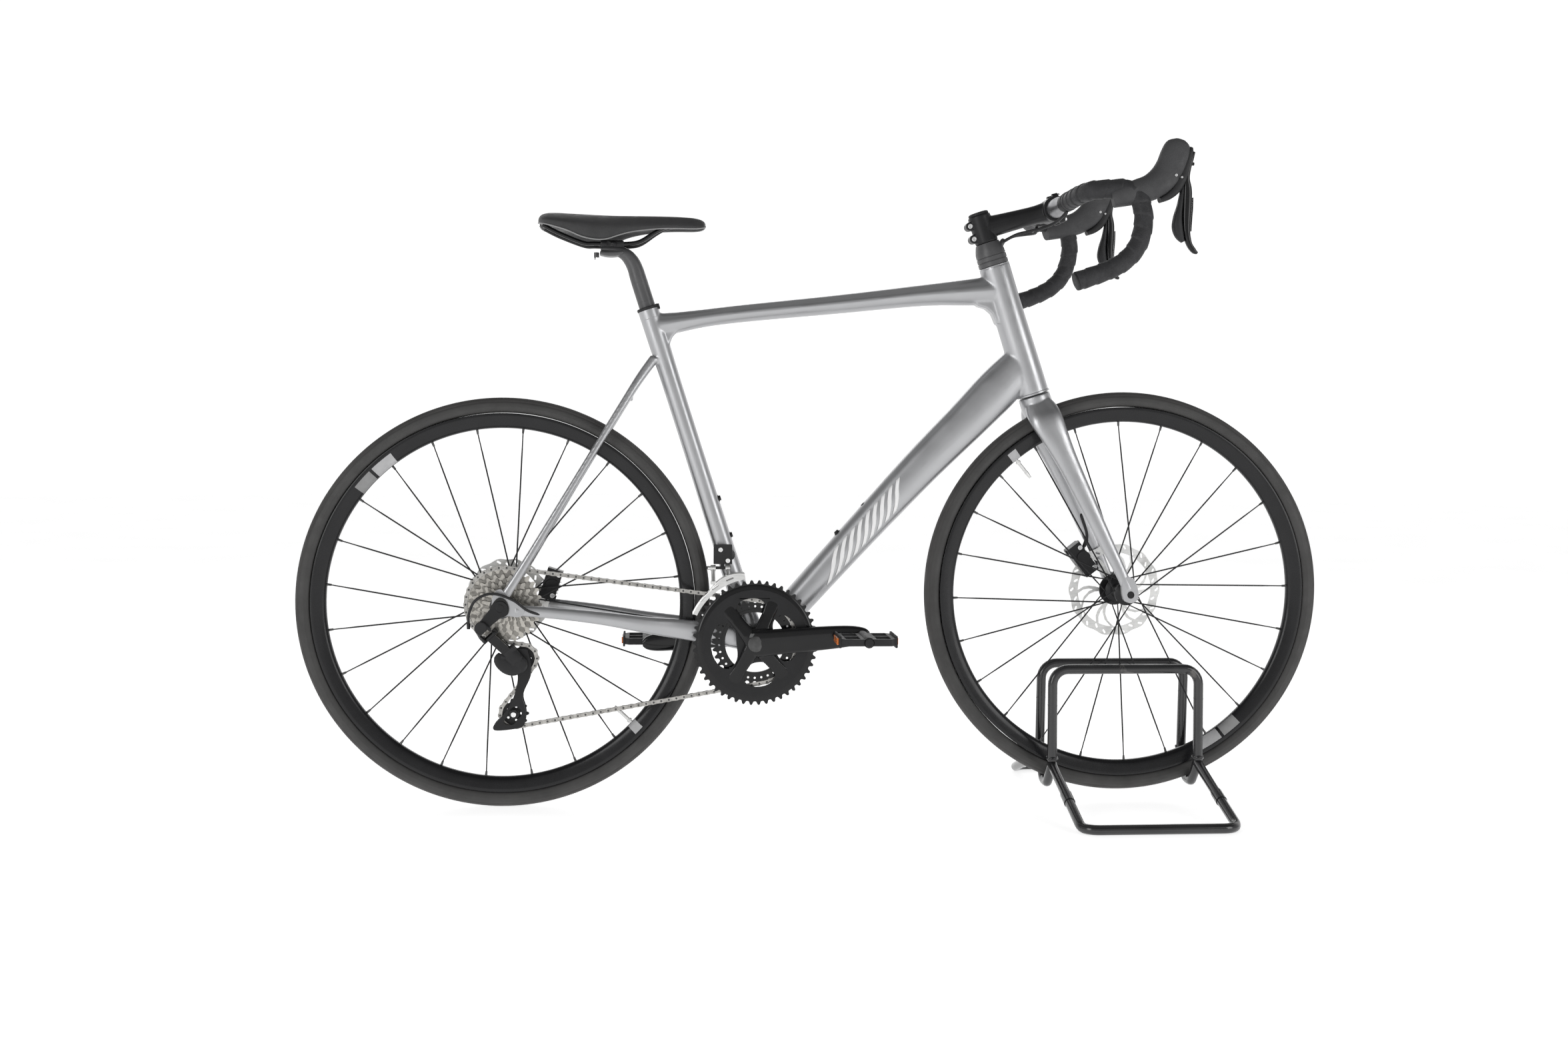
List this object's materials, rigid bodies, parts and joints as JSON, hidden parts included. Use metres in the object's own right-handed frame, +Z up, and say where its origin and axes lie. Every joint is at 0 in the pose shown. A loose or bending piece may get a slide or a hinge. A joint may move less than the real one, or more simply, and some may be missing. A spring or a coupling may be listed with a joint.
{
  "type": "bicycle on stand",
  "caption": "Drop-bar disc-brake road bicycle, its front wheel held upright in a bent-tube floor stand; wheels, cranks, gears, levers, steering and seatpost move.",
  "frame": {"origin": "on the floor, midway between the wheel axles, in the bicycle's centre plane", "axes": "+X towards the front wheel, +Y to the rider's left, +Z up"},
  "size_m": [1.712, 0.5158, 1.0759],
  "materials": {
    "frame_paint": "satin silver",
    "black_alloy": "satin black anodised",
    "gloss_black": "gloss black",
    "stand_paint": "worn gloss black powder coat",
    "steel": "brushed",
    "bar_alloy": "satin grey",
    "tyre": "matt",
    "hood_rubber": "matt",
    "tape": "matt wrap",
    "saddle_cover": "matt",
    "plastic": "matt",
    "chain_steel": "oily"
  },
  "bodies": {
    "stand": {"stand_cradle_tubes": "stand_paint", "stand_hoop_right": "stand_paint", "stand_hoop_left": "stand_paint", "stand_floor_loop_right": "stand_paint", "stand_floor_loop_left": "stand_paint"},
    "front_end": {"fork": "frame_paint", "headset_cover": "black_alloy", "stem": "black_alloy", "stem_faceplate": "black_alloy", "stem_hardware": "black_alloy", "handlebar": "bar_alloy", "bar_tape": "tape", "hood_right": "hood_rubber", "hood_left": "hood_rubber", "front_caliper": "black_alloy", "front_thru_axle": "black_alloy", "front_cables": "plastic"},
    "lever_bracket_right": {"lever_bracket_right": "plastic"},
    "lever_bracket_left": {"lever_bracket_left": "plastic"},
    "lever_blade_right": {"lever_blade_right": "gloss_black"},
    "lever_blade_left": {"lever_blade_left": "gloss_black"},
    "shift_paddle_right": {"shift_paddle_right": "plastic"},
    "shift_paddle_left": {"shift_paddle_left": "plastic"},
    "front_wheel": {"front_tyre": "tyre", "front_rim": "black_alloy", "front_spokes": "steel", "front_hub": "black_alloy", "front_rotor": "steel"},
    "frame": {"main_frame": "frame_paint", "rear_stays": "frame_paint", "frame_fittings": "black_alloy", "derailleur_hanger": "black_alloy", "rear_thru_axle": "black_alloy", "rear_caliper": "black_alloy", "rear_cables": "plastic", "chain": "chain_steel", "front_derailleur": "plastic", "rd_knuckle": "plastic"},
    "front_derailleur_cage": {"front_derailleur_cage": "steel"},
    "seat": {"seatpost": "black_alloy", "saddle_rails": "black_alloy", "saddle": "saddle_cover"},
    "rear_wheel": {"rear_tyre": "tyre", "rear_rim": "black_alloy", "rear_spokes": "steel", "rear_hub": "black_alloy", "rear_rotor": "steel"},
    "cassette": {"cassette": "steel"},
    "crank": {"crank_right": "gloss_black", "crank_left": "gloss_black", "outer_chainring": "gloss_black", "inner_chainring": "gloss_black"},
    "pedal_right": {"pedal_right": "plastic"},
    "pedal_left": {"pedal_left": "plastic"},
    "rd_outer_link": {"rd_outer_link": "gloss_black"},
    "rd_inner_link": {"rd_inner_link": "gloss_black"},
    "rd_body": {"rd_body": "plastic"},
    "rd_cage": {"rd_cage": "plastic"},
    "guide_pulley": {"guide_pulley": "plastic"},
    "tension_pulley": {"tension_pulley": "plastic"}
  },
  "joints": [
    {"name": "lift_out", "type": "slide", "parent": "stand", "child": "front_end", "axis": [0, 0, 1], "range_m": [0, 0.35]},
    {"name": "steering", "type": "hinge", "parent": "front_end", "child": "frame", "pos_m": [0.36232, 0, 0.68798], "axis": [-0.3123, 0, 0.95], "range_deg": [-45, 45]},
    {"name": "front_wheel_spin", "type": "hinge", "parent": "front_end", "child": "front_wheel", "pos_m": [0.518, 0, 0.356], "axis": [0, 1, 0], "continuous": true},
    {"name": "brake_lever_right", "type": "hinge", "parent": "front_end", "child": "lever_bracket_right", "pos_m": [0.5279, -0.213, 1.02201], "axis": [0, 1, 0], "range_deg": [0, 18], "stiffness_Nm_per_rad": 1.2},
    {"name": "brake_lever_left", "type": "hinge", "parent": "front_end", "child": "lever_bracket_left", "pos_m": [0.5279, 0.213, 1.02201], "axis": [0, 1, 0], "range_deg": [0, 18], "stiffness_Nm_per_rad": 1.2},
    {"name": "shift_lever_right", "type": "hinge", "parent": "lever_bracket_right", "child": "lever_blade_right", "pos_m": [0.5379, -0.213, 1.04201], "axis": [1, 0, 0], "range_deg": [0, 14], "stiffness_Nm_per_rad": 0.8},
    {"name": "shift_lever_left", "type": "hinge", "parent": "lever_bracket_left", "child": "lever_blade_left", "pos_m": [0.5379, 0.213, 1.04201], "axis": [-1, 0, 0], "range_deg": [0, 14], "stiffness_Nm_per_rad": 0.8},
    {"name": "shift_paddle_right", "type": "hinge", "parent": "lever_blade_right", "child": "shift_paddle_right", "pos_m": [0.5379, -0.213, 1.04201], "axis": [1, 0, 0], "range_deg": [0, 12], "stiffness_Nm_per_rad": 0.5},
    {"name": "shift_paddle_left", "type": "hinge", "parent": "lever_blade_left", "child": "shift_paddle_left", "pos_m": [0.5379, 0.213, 1.04201], "axis": [-1, 0, 0], "range_deg": [0, 12], "stiffness_Nm_per_rad": 0.5},
    {"name": "seatpost_height", "type": "slide", "parent": "frame", "child": "seat", "axis": [-0.308, 0, 0.9514], "range_m": [-0.05, 0.03]},
    {"name": "rear_wheel_spin", "type": "hinge", "parent": "frame", "child": "rear_wheel", "pos_m": [-0.518, 0, 0.338], "axis": [0, 1, 0], "continuous": true},
    {"name": "crank_spin", "type": "hinge", "parent": "frame", "child": "crank", "pos_m": [-0.107, 0, 0.277], "axis": [0, 1, 0], "continuous": true, "deforming": ["chain"]},
    {"name": "cassette_spin", "type": "hinge", "parent": "frame", "child": "cassette", "pos_m": [-0.518, 0, 0.338], "axis": [0, 1, 0], "continuous": true},
    {"name": "pedal_right_spin", "type": "hinge", "parent": "crank", "child": "pedal_right", "pos_m": [0.06484, -0.12, 0.29203], "axis": [0, 1, 0], "continuous": true},
    {"name": "pedal_left_spin", "type": "hinge", "parent": "crank", "child": "pedal_left", "pos_m": [-0.27884, 0.12, 0.26197], "axis": [0, 1, 0], "continuous": true},
    {"name": "front_shift", "type": "hinge", "parent": "frame", "child": "front_derailleur_cage", "pos_m": [-0.161, -0.032, 0.399], "axis": [-1, 0, 0], "range_deg": [0, 10], "stiffness_Nm_per_rad": 2, "deforming": ["chain"]},
    {"name": "rear_shift", "type": "hinge", "parent": "frame", "child": "rd_outer_link", "pos_m": [-0.536, -0.066, 0.291], "axis": [-0.729, 0, -0.6845], "range_deg": [0, 48.4], "stiffness_Nm_per_rad": 1, "deforming": ["chain"]},
    {"name": "rear_shift_inner", "type": "hinge", "parent": "frame", "child": "rd_inner_link", "pos_m": [-0.536, -0.053, 0.291], "axis": [-0.729, 0, -0.6845], "range_deg": [0, 48.4], "deforming": ["chain"]},
    {"name": "rear_shift_knuckle", "type": "hinge", "parent": "rd_outer_link", "child": "rd_body", "pos_m": [-0.50859, -0.048, 0.26181], "axis": [-0.729, 0, -0.6845], "range_deg": [-48.4, 0], "deforming": ["chain"]},
    {"name": "cage_swing", "type": "hinge", "parent": "rd_body", "child": "rd_cage", "pos_m": [-0.493, -0.033, 0.242], "axis": [0, 1, 0], "range_deg": [-35, 25], "stiffness_Nm_per_rad": 1.5, "deforming": ["chain"]},
    {"name": "guide_pulley_spin", "type": "hinge", "parent": "rd_cage", "child": "guide_pulley", "pos_m": [-0.486, -0.026, 0.25], "axis": [0, 1, 0], "continuous": true, "deforming": ["chain"]},
    {"name": "tension_pulley_spin", "type": "hinge", "parent": "rd_cage", "child": "tension_pulley", "pos_m": [-0.501, -0.026, 0.159], "axis": [0, 1, 0], "continuous": true, "deforming": ["chain"]}
  ],
  "couplings": [
    {"joint": "cassette_spin", "follows": "crank_spin", "ratio": 1.1333},
    {"joint": "guide_pulley_spin", "follows": "crank_spin", "ratio": -3.0909},
    {"joint": "tension_pulley_spin", "follows": "crank_spin", "ratio": 3.0909},
    {"joint": "rear_shift_inner", "follows": "rear_shift", "ratio": 1},
    {"joint": "rear_shift_knuckle", "follows": "rear_shift", "ratio": -1}
  ]
}
